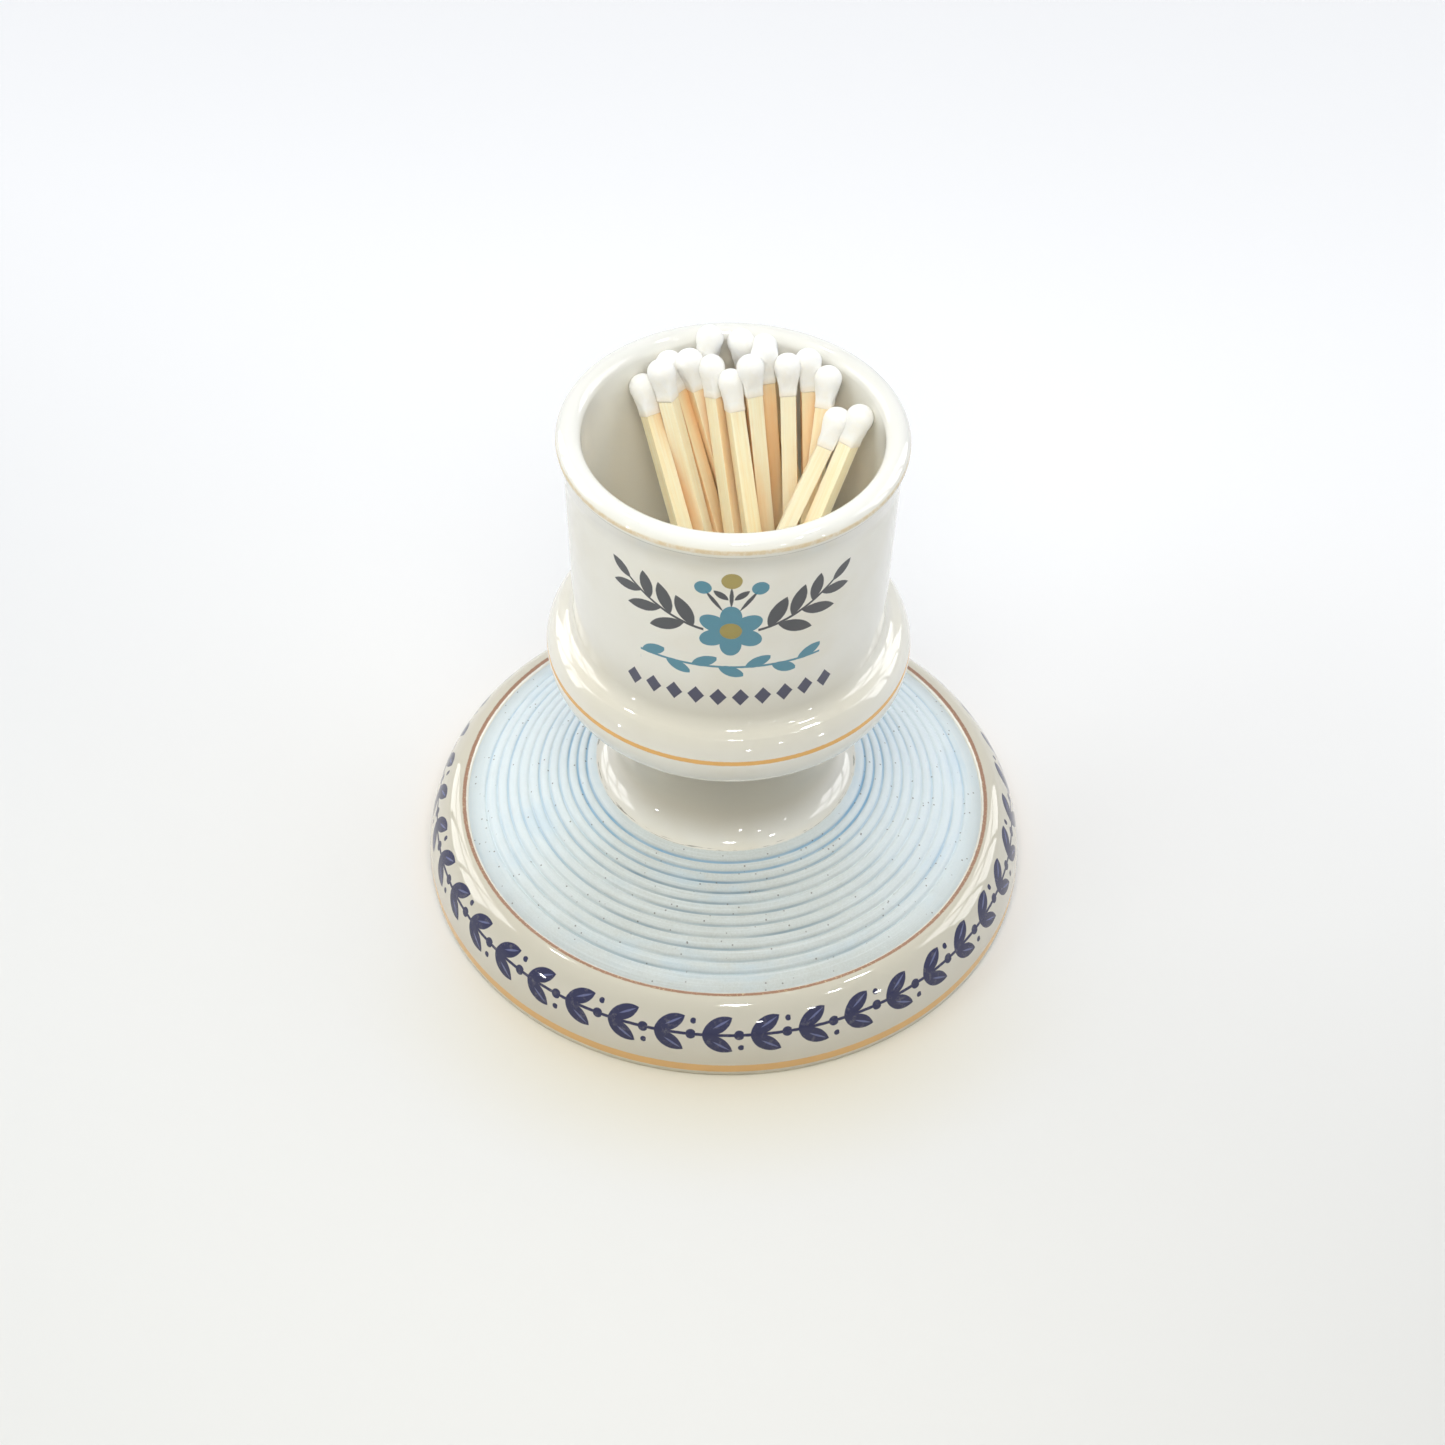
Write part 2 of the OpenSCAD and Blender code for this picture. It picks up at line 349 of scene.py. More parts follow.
# Turns the outline into a closed body: a grid bent round the axis, with its seam and poles merged
def latheTree():
    tree, nodes, given, places = startTree("turnedBody", (
        ("Outline", "NodeSocketObject"), ("Turns", "NodeSocketInt"), ("Points", "NodeSocketInt"),
        ("Wobble", "NodeSocketFloat"), ("Glaze", "NodeSocketMaterial")))
    outline = nodes.add("GeometryNodeObjectInfo", {"transform_space": "ORIGINAL"},
                        {"Object": given.out("Outline")}, "Geometry")
    count = given.out("Points")
    sheet = nodes.add("GeometryNodeMeshGrid", None, {
        "Size X": 1.0, "Size Y": 1.0, "Vertices X": given.out("Turns") + 1, "Vertices Y": count})
    index = nodes.add("GeometryNodeInputIndex")
    row = ((index + 0.5) / count).whole()
    column = index - row * count
    here = nodes.add("GeometryNodeInputPosition")
    spot = nodes.add("GeometryNodeSampleIndex", {"data_type": "FLOAT_VECTOR", "domain": "POINT"},
                     {"Geometry": outline, "Value": here, "Index": column})
    parts = nodes.add("ShaderNodeSeparateXYZ", None, {0: spot})
    radius, height = parts.out(0), parts.out(2)
    angle = row / given.out("Turns") * (2 * math.pi)
    even = nodes.join(radius * angle.cosine(), radius * angle.sine(), height)
    slow = nodes.noise(even, 55.0, 1.0)
    shrunk = radius * (1.0 - slow * given.out("Wobble") / 50)
    place = nodes.join(shrunk * angle.cosine(), shrunk * angle.sine(), height)
    body = nodes.add("GeometryNodeSetPosition", None, {"Geometry": sheet, "Position": place})
    for name in ("along", "valley"):
        value = nodes.add("GeometryNodeInputNamedAttribute", {"data_type": "FLOAT"}, {"Name": name})
        taken = nodes.add("GeometryNodeSampleIndex", {"data_type": "FLOAT", "domain": "POINT"},
                          {"Geometry": outline, "Value": value, "Index": column})
        body = nodes.add("GeometryNodeStoreNamedAttribute", {"data_type": "FLOAT", "domain": "POINT"},
                         {"Geometry": body, "Name": name, "Value": taken})
    body = nodes.add("GeometryNodeMergeByDistance", None, {"Geometry": body, "Distance": 0.002 * mm})
    body = nodes.add("GeometryNodeSetShadeSmooth", None, {"Geometry": body, "Shade Smooth": True})
    body = nodes.add("GeometryNodeRealizeInstances", None, {"Geometry": body})
    body = nodes.add("GeometryNodeSetMaterial", None, {"Geometry": body, "Material": given.out("Glaze")})
    nodes.add("NodeGroupOutput", None, {"Mesh": body})
    return tree, places


# The striker's finish: glaze, matt ridged disc, gilt lines and printed ornament. Reaches, bands and
# sizes are in millimetres: reaches and bands lie along the outline, from the mark named beside their use
glazeValues = dict(
    white=tone(243, 240, 230), cream=tone(236, 230, 213), shaded=tone(212, 204, 186),
    paintedTopShade=tone(212, 206, 189), inner=tone(249, 247, 238), lip=tone(232, 232, 228),
    bare=tone(222, 214, 196), blue=tone(219, 231, 236), frontShadeGrey=tone(197, 200, 193),
    wash=tone(186, 212, 230), chalk=tone(228, 235, 236), groove=tone(132, 178, 210),
    grooveFrontShade=tone(132, 146, 150), brown=tone(156, 104, 74), gold=tone(236, 182, 104),
    paleGold=tone(222, 198, 152), navy=tone(32, 34, 78), slate=tone(42, 46, 58),
    teal=tone(56, 134, 158), olive=tone(168, 148, 64), speck=tone(96, 92, 84),
    paleNavy=tone(100, 106, 150),
    ior=1.58, glazeRough=0.04, mattRough=0.62, bareRough=0.5, giltMetal=0.25, bump=0.05, waver=0.16,
    creamShare=0.6, footShade=0.7, lipShade=0.8, stemReach=(0.5, 7.0), rollReach=(-3.0, 4.0),
    topReach=(-1.0, 4.0), neckReach=(1.0, 13.0), crestReach=(6.5, 11.0), topShadeLeast=0.2, topShadeFront=0.5,
    insideFrom=4.0, lipReach=(2.4, 3.6), bareHalf=1.9,
    frontShadeShare=0.8, chalkShare=0.3, washShare=0.4, thrownShare=0.45, nearStem=(23.8, 28.5),
    stemTone=0.75, firstRing=23.6, ringPitch=1.75, grooveDarkLeast=0.55, grooveShadeFront=0.4, grooveDarkStem=0.6,
    grooveDarkStemR=(24.0, 31.0), speckSize=(0.1, 0.22), speckRare=(0.8, 0.82), speckShare=0.75,
    rubbedAt=0.3, rubbedHalf=0.2, rubbedShare=0.65,
    brownAt=0.08, brownHalf=0.24, brownUneven=0.16, shoulderLine=(0.15, 0.4), footLine=(0.15, 0.78),
    lipLine=(2.1, 0.36), lineShare=0.85,
    garlandCells=40, garlandR=49.8, garlandUp=7.0, garlandHalf=4.4, leafAt=(-0.35, 1.6), leafLean=30,
    leafLong=5.6, leafWide=2.6, veinAt=(0.3, 1.95), veinLong=3.08, veinWide=0.34, twigHalf=0.26,
    berryAt=(3.2, 0.0), berryR=0.85, dotAt=(3.5, 2.3), dotR=0.5,
    printR=24.8, printAside=0.3, printH=71.5, printTurn=1.3, printShare=0.94,
    stalkUp=2.6, stalkCurve=0.028, stalkHalf=0.24, stalkMiddle=10.0, stalkReach=6.0,
    sprigLeaves=(
        ((6.8, 6.2), 65, 6.2, 2.4), ((9.9, 7.75), 72, 6.0, 2.2), ((12.75, 9.3), 78, 5.2, 2.0),
        ((9.55, 2.7), -24, 6.0, 2.3), ((13.2, 4.9), -14, 5.8, 2.1), ((16.0, 7.6), -5, 5.0, 1.9),
        ((17.0, 10.65), 42, 4.2, 1.7), ((2.5, 9.1), 57, 4.8, 0.6), ((0.0, 9.9), 90, 4.0, 0.6),
        ((1.5, 10.3), 40, 2.8, 1.1)),
    flowerUp=3.0, flowerR=3.2, petals=6, petalOut=1.9, heartR=1.6, budAt=(4.1, 11.6), budR=1.25,
    topBudAt=(0.0, 13.2), topBudR=1.5,
    chainPitch=4.0, chainDown=4.6, chainLeafAt=(0.2, 0.95), chainLean=26, chainLong=4.4, chainWide=2.0,
    chainHalf=0.2, chainReach=14.0,
    lozengePitch=3.4, lozengeDown=11.2, lozengeTall=0.72, lozengeHalf=1.3, lozengeReach=17.0)


# How far a point lies outside a pointed leaf, in millimetres
def leafGap(x, y, middle, turn, length, width):
    cosine, sine = math.cos(math.radians(turn)), math.sin(math.radians(turn))
    across = x - middle[0]
    up = y - middle[1]
    forward = across * cosine + up * sine
    aside = abs(up * cosine - across * sine)
    half, thin = length / 2, width / 2
    centre = (half * half - thin * thin) / (2 * thin)
    return (forward * forward + (aside + centre) * (aside + centre)).root() - (centre + thin)


def dotGap(x, y, middle, radius):
    across = x - middle[0]
    up = y - middle[1]
    return (across * across + up * up).root() - radius


# 1 inside a printed shape and 0 outside, with a slightly uneven edge
def inked(gap, edge):
    return 1.0 - (gap + edge * 0.6).rise(-0.05, 0.07)


# Places within a repeat, from its middle, and 1 or -1 by turns from one repeat to the next
def repeated(cell, pitch):
    return (cell.fraction() - 0.5) * pitch, (cell.whole() * 0.5).fraction() * 4.0 - 1.0


# What the finish is made from: place, angle, radius, the way along the outline, depth in a groove, noises
def glazeFields(nodes, v):
    spot = nodes.add("ShaderNodeTexCoord", output="Object")
    place = nodes.stretch(spot, (1000.0, 1000.0, 1000.0))
    parts = nodes.add("ShaderNodeSeparateXYZ", None, {0: place})
    x, y = parts, parts.out(1)
    return dict(
        place=place, height=parts.out(2), radius=(x * x + y * y).root(), turn=nodes.atan(x, -y),
        along=nodes.add("ShaderNodeAttribute", {"attribute_name": "along"}, output="Fac"),
        valley=nodes.add("ShaderNodeAttribute", {"attribute_name": "valley"}, output="Fac"),
        edge=(nodes.noise(place, 1.6, 3.0, 0.6) - 0.5) * v["waver"],
        broad=nodes.noise(place, 0.07, 3.0, 0.55), patch=nodes.noise(place, 0.25, 4.0, 0.6),
        worn=nodes.noise(place, 0.9, 3.0, 0.7))


# 0 before a mark on the outline and 1 after it, and 1 between two marks
def past(along, mark, reach):
    return along.rise(marks[mark] + reach[0], marks[mark] + reach[1])


def span(along, first, firstReach, last, lastReach):
    return past(along, first, firstReach) * (1.0 - past(along, last, lastReach))


def streaks(nodes, first, second, seed):
    return nodes.noise(nodes.join(first, second, seed), 1.0, 3.0, 0.6)


# The glaze, a little creamier in patches, with painted shade on the stem, the foot, the shoulder's top and
# the lip's top, painted light inside the cup, and the bare ring under the foot
def glazeColour(nodes, at, v, bare):
    along = at["along"]
    colour = nodes.blend(at["broad"].rise(0.42, 0.72) * v["creamShare"], v["white"], v["cream"])
    # Painted shade: the stem below the shoulder, and most of the foot, take the darker shaded tone
    onStem = span(along, "flare", v["stemReach"], "roll", v["rollReach"])
    onFoot = 1.0 - along.rise(marks["drop"], marks["drop"] + 0.5)
    colour = nodes.blend(onStem.higher(onFoot * v["footShade"]), colour, v["shaded"])
    # Painted shade: the shoulder's top and the foot's crest take a darker tone, deeper towards the front
    paintedTopShade = span(along, "top", v["topReach"], "neck", v["neckReach"])
    paintedTopShade = paintedTopShade * (v["topShadeLeast"] + at["turn"].cosine().rise(0.3, 0.95) * v["topShadeFront"])
    paintedTopShade = paintedTopShade.higher(past(along, "crest", v["crestReach"]) * onFoot)
    colour = nodes.blend(paintedTopShade, colour, v["paintedTopShade"])
    # Painted light: the inside of the cup takes a paler tone than the outside
    within = along.rise(marks["lip"] + v["insideFrom"], marks["inside"] + 1.0)
    colour = nodes.blend(within, colour, v["inner"])
    # Painted shade: the top of the lip takes a greyer white, which holds down its brightness
    onLip = past(along, "lip", v["lipReach"]) * (1.0 - within)
    colour = nodes.blend(onLip * v["lipShade"], colour, v["lip"])
    return nodes.blend(bare, colour, v["bare"])


# The ridged disc: bluer behind and greyer and darker in front as painted shade, with thrown streaks, specks,
# and grooves darkened by painted shade and uneven stain
def discColour(nodes, at, v):
    turn, radius, place = at["turn"], at["radius"], at["place"]
    # Painted shade: towards the front the ridges turn greyer and darker, mixed with patches of random tone
    front = turn.cosine().rise(0.25, 1.0) * v["frontShadeShare"]
    ridge = nodes.blend(front + (at["patch"] - 0.5) * 0.5, v["blue"], v["frontShadeGrey"])
    mottle = nodes.noise(place, 2.6, 4.0, 0.75)
    ridge = nodes.blend(mottle.rise(0.35, 0.7) * v["chalkShare"], ridge, v["chalk"])
    washed = streaks(nodes, turn * 2.2, radius * 0.16, 4.0)
    ridge = nodes.blend(washed.rise(0.5, 0.75) * v["washShare"], ridge, v["wash"])
    thrown = streaks(nodes, turn * 1.4, radius * 3.2, 9.0)
    ridge = nodes.blend(thrown.rise(0.45, 0.75) * v["thrownShare"], ridge, v["chalk"])
    nearStem = 1.0 - radius.rise(*v["nearStem"])
    # The grooves go darker: painted shade in the recesses, greyest and strongest in front, with uneven
    # staining ring by ring, and bluer near the stem
    valleyTone = nodes.blend(front * (1.0 - nearStem * v["stemTone"]), v["groove"], v["grooveFrontShade"])
    ringNumber = ((radius - v["firstRing"]) / v["ringPitch"] + 0.5).whole()
    uneven = streaks(nodes, turn * 1.3, ringNumber * 3.1, 0.0).rise(0.35, 0.75)
    stain = at["valley"].rise(0.3, 0.95) * (
        uneven * (v["grooveDarkLeast"] + front * v["grooveShadeFront"])
        + (1.0 - radius.rise(*v["grooveDarkStemR"])) * v["grooveDarkStem"])
    ridge = nodes.blend(stain, ridge, valleyTone)
    specks = nodes.add("ShaderNodeTexVoronoi", None, {"Vector": place, "Scale": 1.1})
    rare = nodes.add("ShaderNodeSeparateXYZ", None, {0: specks.out("Color")})
    speckle = (1.0 - specks.out("Distance").rise(*v["speckSize"])) * rare.rise(*v["speckRare"])
    return nodes.blend(speckle * v["speckShare"], ridge, v["speck"])


# Worn brown round the disc, with pale gold flecks that grow denser in front as painted highlights, and gold
# on the shoulder, the foot and the lip
def paintLines(nodes, at, v, colour):
    worn, line = at["worn"], at["along"] + at["edge"]
    brown = line.band(marks["drop"] + v["brownAt"], v["brownHalf"] + worn * v["brownUneven"], 0.1)
    # Pale gold flecks in the brown line: specks all round, made denser in front as a painted highlight
    fleckAndGlint = nodes.noise(at["place"], 2.4, 2.0).rise(0.58, 0.68) * (0.35 + at["turn"].cosine() * 0.4)
    colour = nodes.blend(brown * v["lineShare"], colour, nodes.blend(fleckAndGlint, v["brown"], v["paleGold"]))
    shoulder = line.band(marks["top"] + v["shoulderLine"][0], v["shoulderLine"][1], 0.08)
    foot = line.band(marks["crest"] + v["footLine"][0], v["footLine"][1], 0.12) * worn.rise(0.12, 0.26)
    lip = line.band(marks["lip"] + v["lipLine"][0], v["lipLine"][1], 0.2)
    colour = nodes.blend(shoulder, colour, v["gold"])
    colour = nodes.blend(foot * v["lineShare"], colour, v["gold"])
    lip = lip * (0.4 + worn.rise(0.3, 0.6) * 0.6)
    colour = nodes.blend(lip * v["lineShare"], colour, v["paleGold"])
    return colour, (shoulder + foot * 0.6).lower(1.0)


# A leaf garland that runs round the foot, with a pale vein in each leaf
def paintGarland(nodes, at, v, colour):
    along, edge = at["along"], at["edge"]
    cell = at["turn"] * (v["garlandCells"] / (2 * math.pi)) + 0.5
    u, flip = repeated(cell, 2 * math.pi * v["garlandR"] / v["garlandCells"])
    w = along - (marks["crest"] + v["garlandUp"])
    side = abs(w)
    gaps = leafGap(u, side, v["leafAt"], v["leafLean"], v["leafLong"], v["leafWide"])
    veins = leafGap(u, side, v["veinAt"], v["leafLean"], v["veinLong"], v["veinWide"])
    gaps = gaps.lower(side - v["twigHalf"])
    gaps = gaps.lower(dotGap(u, w, v["berryAt"], v["berryR"]))
    gaps = gaps.lower(dotGap(u, w * flip, v["dotAt"], v["dotR"]))
    inBand = along.band(marks["crest"] + v["garlandUp"], v["garlandHalf"], 0.1)
    ink = inked(gaps, edge) * inBand * (0.86 + at["worn"].rise(0.2, 0.5) * 0.14)
    inkTone = nodes.blend(1.0 - (veins + edge * 0.4).rise(-0.06, 0.06), v["navy"], v["paleNavy"])
    return nodes.blend(ink, colour, inkTone)


# On the cup: a flower with buds and sprigs, a chain of leaves, and a row of lozenges
def paintCup(nodes, at, v, colour):
    across = at["turn"] * v["printR"] - v["printAside"]
    up = at["height"] - v["printH"]
    onCup = (1.0 - abs(at["turn"]).rise(v["printTurn"], v["printTurn"] + 0.02)) * (
        span(at["along"], "neck", (0.5, 0.7), "lip", (0.0, 0.1)))
    wide = abs(across)
    stalk = abs(up - v["stalkUp"] - wide * wide * v["stalkCurve"]) - v["stalkHalf"]
    sprig = stalk.higher(abs(wide - v["stalkMiddle"]) - v["stalkReach"])
    for middle, lean, length, width in v["sprigLeaves"]:
        sprig = sprig.lower(leafGap(wide, up, middle, lean, length, width))
    overFlower = up - v["flowerUp"]
    flowerTurn = nodes.atan(across, overFlower)
    flowerR = (across * across + overFlower * overFlower).root()
    petal = flowerR - v["flowerR"] - abs((flowerTurn * (v["petals"] / 2)).cosine()) * v["petalOut"]
    petal = petal.lower(dotGap(wide, up, v["budAt"], v["budR"]))
    heart = (flowerR - v["heartR"]).lower(dotGap(across, up, v["topBudAt"], v["topBudR"]))
    chainUp = up + v["chainDown"]
    u, flip = repeated(across / v["chainPitch"] + 0.5, v["chainPitch"])
    chain = leafGap(u, chainUp * flip, v["chainLeafAt"], v["chainLean"], v["chainLong"], v["chainWide"])
    chain = chain.lower(abs(chainUp) - v["chainHalf"]).higher(wide - v["chainReach"])
    aside, _ = repeated(across / v["lozengePitch"], v["lozengePitch"])
    lozenge = abs(aside) + abs(up + v["lozengeDown"]) * v["lozengeTall"] - v["lozengeHalf"]
    lozenge = lozenge.higher(wide - v["lozengeReach"])
    for gap, inkName in ((sprig, "slate"), (petal, "teal"), (chain, "teal"), (heart, "olive"),
                         (lozenge, "navy")):
        colour = nodes.blend(inked(gap, at["edge"]) * onCup * v["printShare"], colour, v[inkName])
    return colour


def glazeMaterial(v):
    material, nodes, surface = startMaterial("glazedPorcelain", {"IOR": v["ior"]})
    at = glazeFields(nodes, v)
    along = at["along"]
    torn = along + at["edge"] * 2.0
    bare = along.band((marks["ring"] + marks["edge"]) / 2, v["bareHalf"], 0.25)
    colour = glazeColour(nodes, at, v, bare)
    rim = marks["before disc"]
    disc = along.rise(rim - 0.1, rim + 0.1) * (1.0 - torn.rise(marks["flare"] - 0.1, marks["flare"] + 0.25))
    colour = nodes.blend(disc, colour, discColour(nodes, at, v))
    rubbed = streaks(nodes, at["turn"] * 5.0, along * 4.0, 3.0).rise(0.53, 0.63)
    foot = torn.band(marks["flare"] + v["rubbedAt"], v["rubbedHalf"], 0.12)
    colour = nodes.blend(foot * rubbed * v["rubbedShare"], colour, v["speck"])
    colour, gilt = paintLines(nodes, at, v, colour)
    colour = paintGarland(nodes, at, v, colour)
    colour = paintCup(nodes, at, v, colour)

    feed(material.node_tree, surface.inputs["Base Color"], colour)
    rough = v["glazeRough"] + disc * (v["mattRough"] - v["glazeRough"]) + bare * v["bareRough"]
    feed(material.node_tree, surface.inputs["Roughness"], rough)
    feed(material.node_tree, surface.inputs["Metallic"], gilt * v["giltMetal"])
    grit = nodes.noise(at["place"], 4.0, 3.0, 0.7)
    wave = nodes.noise(at["place"], 0.16, 2.0)
    height = (grit * disc + wave * (1.0 - disc)) * v["bump"]
    feed(material.node_tree, surface.inputs["Normal"], nodes.bump(height))
    return material


glaze = glazeMaterial(glazeValues)
outline = meshObject("strikerOutline", [(r * mm, 0.0, h * mm) for r, h in outlinePoints],
                     [(i, i + 1) for i in range(len(outlinePoints) - 1)], [])
putFloats(outline.data, "along", outlineAlong)
putFloats(outline.data, "valley", outlineDepths)
turnedTree, turnedPlaces = latheTree()
striker = grow("striker", turnedTree, turnedPlaces, {
    "Outline": outline, "Turns": strikerValues["turns"], "Points": len(outlinePoints),
    "Wobble": strikerValues["wobble"], "Glaze": glaze})
bpy.data.objects.remove(outline)
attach(striker, "root")
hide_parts("striker_body")
print("stage 2: striker turned,", len(striker.data.polygons), "faces")


# The matches, in millimetres; twist is in degrees, and twist and swell have one value a match
matchValues = dict(
    length=50.0, stickWide=2.42, stickRound=0.1, stickCover=1.1, rings=26, sides=5, hidden=0.25,
    lift=0.02, bevel=0.1,
    headR=2.1, dropL=5.6, dipL=7.0, dipThick=0.17, dipRound=0.36, ragged=0.5, dent=0.12,
    rough=0.05, tipShort=0.28, closeFrom=4.2, closeTo=2.2,
    twist=(-8, -14, -8, -18, -6, -14, -8, -16, -12, -8, -14, -6, -16, -10, 12, -8),
    swell=(0.1, 0.16, 0.12, 0.26, 0.05, 0.0, 0.12, 0.1, 0.14, 0.08, 0.1, 0.16, 0.12, 0.1, 0.1, 0.1))


# Where each match stands: its foot, its direction and the way one side faces
def matchPlaces():
    found = []
    for number in range(1, matchCount + 1):
        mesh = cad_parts["match_%02d_stick" % number].data
        corners = sorted({tuple(round(c, 7) for c in vertex.co) for vertex in mesh.vertices})
        corners = [Vector(corner) for corner in corners]
        low = sorted(corners, key=lambda corner: corner.z)[:4]
        high = [corner for corner in corners if corner not in low]
        foot = sum(low, Vector()) / len(low)
        axis = (sum(high, Vector()) / len(high) - foot).normalized()
        near = min((corner for corner in low[1:]), key=lambda corner: (corner - low[0]).length)
        side = (near - low[0]).normalized()
        side = (side - axis * side.dot(axis)).normalized()
        side = Matrix.Rotation(math.radians(matchValues["twist"][number - 1]), 3, axis) @ side
        turn = Matrix((side, axis.cross(side), axis)).transposed()
        found.append((foot, turn.to_euler("XYZ")))
    return found


# A loft of rounded squares, each (height, half width, corner radius)
def loft(name, stations, perCorner):
    points, faces = [], []
    around = 4 * (perCorner + 1)
    for height, half, corner in stations:
        for quarter in range(4):
            for step in range(perCorner + 1):
                turn = math.radians(90 * quarter + 90 * step / perCorner)
                shift = math.radians(90 * quarter + 45)
                reach = (half - corner) * math.sqrt(2)
                points.append(((math.cos(shift) * reach + math.cos(turn) * corner) * mm,
                               (math.sin(shift) * reach + math.sin(turn) * corner) * mm, height * mm))
    for ring in range(len(stations) - 1):
        for i in range(around):
            j = (i + 1) % around
            base = ring * around
            faces.append((base + i, base + j, base + around + j, base + around + i))
    first, last = len(points), len(points) + 1
    points.append((0.0, 0.0, stations[0][0] * mm))
    points.append((0.0, 0.0, stations[-1][0] * mm))
    top = (len(stations) - 1) * around
    for i in range(around):
        j = (i + 1) % around
        faces.append((j, i, first))
        faces.append((top + i, top + j, last))
    item = meshObject(name, points, [], faces)
    item.data.attributes.new("ownPlace", "FLOAT_VECTOR", "POINT").data.foreach_set(
        "vector", [c / mm for point in points for c in point])
    return item


def stickBlank(v):
    half = v["stickWide"] / 2
    end = v["length"] - v["stickCover"]
    low = v["lift"] + v["bevel"]
    stations = [(v["lift"], half - v["bevel"], v["stickRound"]), (low, half, v["stickRound"])]
    shown = v["length"] - v["dipL"] + 1.0
    stations += [(low + (shown - low) * i / v["rings"], half, v["stickRound"])
                 for i in range(1, v["rings"] + 1)]
    stations += [(height, half - v["hidden"], v["stickRound"]) for height in (shown + 0.3, end)]
    return loft("stickBlank", stations, v["sides"])


def headBlank(v):
    dip = v["stickWide"] / 2 + v["dipThick"]
    length = v["length"] - v["tipShort"]
    start = v["length"] - v["dipL"]
    dropStart = length - v["dropL"]
    middle = length - v["headR"]
    stations = [(start, dip - 0.07, v["dipRound"]), (start + 0.12, dip - 0.01, v["dipRound"])]
    stations += [(start + 0.12 + (dropStart - start - 0.12) * i / 8, dip, v["dipRound"] + 0.02 * i)
                 for i in range(1, 9)]
    for i in range(1, 11):
        t = i / 10
        swell = (1 - math.cos(math.pi * t)) / 2
        half = dip + (v["headR"] - dip) * swell
        corner = v["dipRound"] + 0.16 + (half - v["dipRound"] - 0.16) * min(1, swell * 1.5)
        stations.append((dropStart + (middle - dropStart) * t, half, min(corner, half)))
    for i in range(1, 12):
        turn = math.radians(90 * i / 12)
        radius = v["headR"] * math.cos(turn)
        stations.append((middle + v["headR"] * math.sin(turn), radius, radius))
    return loft("headBlank", stations, v["sides"])


# How near each face of a stick looks onto another stick, 0 to 1, where warm light gathers
def markCloseness(mesh, spots, v):
    numbers = [0.0] * len(mesh.vertices)
    mesh.attributes["matchNumber"].data.foreach_get("value", numbers)
    axes = [(foot, turn.to_matrix() @ Vector((0, 0, 1))) for foot, turn in spots]
    found = []
    for vertex, number in zip(mesh.vertices, numbers):
        most = 0.0
        for other, (foot, axis) in enumerate(axes):
            if other == round(number):
                continue
            reach = min(max((vertex.co - foot).dot(axis), 0.0), v["length"] * mm)
            gap = foot + axis * reach - vertex.co
            distance = gap.length / mm
            if distance < v["closeFrom"]:
                facing = max(0.0, vertex.normal.dot(gap.normalized()))
                near = min(1.0, (v["closeFrom"] - distance) / (v["closeFrom"] - v["closeTo"]))
                most = max(most, facing * near)
        found.append(most)
    putFloats(mesh, "closeness", found)


